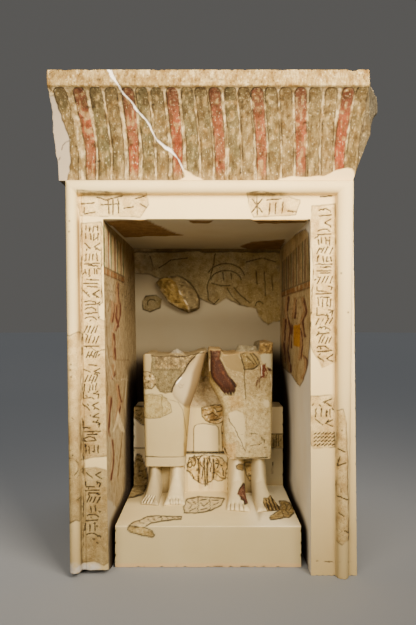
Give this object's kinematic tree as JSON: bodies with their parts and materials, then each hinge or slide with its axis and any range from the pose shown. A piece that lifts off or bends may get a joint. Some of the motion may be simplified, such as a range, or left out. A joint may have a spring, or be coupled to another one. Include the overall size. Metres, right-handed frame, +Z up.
{
  "type": "stone shrine with statues",
  "caption": "Carved stone shrine with a leaf-patterned hollow cornice and an open niche holding a broken pair of seated statues on a plinth.",
  "frame": {"origin": "centre of the bounding box in plan, on the ground under the plinth", "axes": "+Z up; the open front faces -Y; +X is to the right of someone facing the front"},
  "size_m": [1.032, 1.055, 1.4013],
  "materials": {
    "cornice": "matt limestone with worn red and grey-green paint",
    "walls": "matt limestone fragments set in smooth cream plaster",
    "statues_upper": "matt limestone and cream plaster with traces of dark red paint",
    "statues_lower": "smooth cream plaster with matt limestone fragments"
  },
  "bodies": {
    "root": {"cornice": "cornice", "shrine_body": "walls", "statue_group": "statues_upper", "statue_base": "statues_lower"}
  },
  "joints": []
}
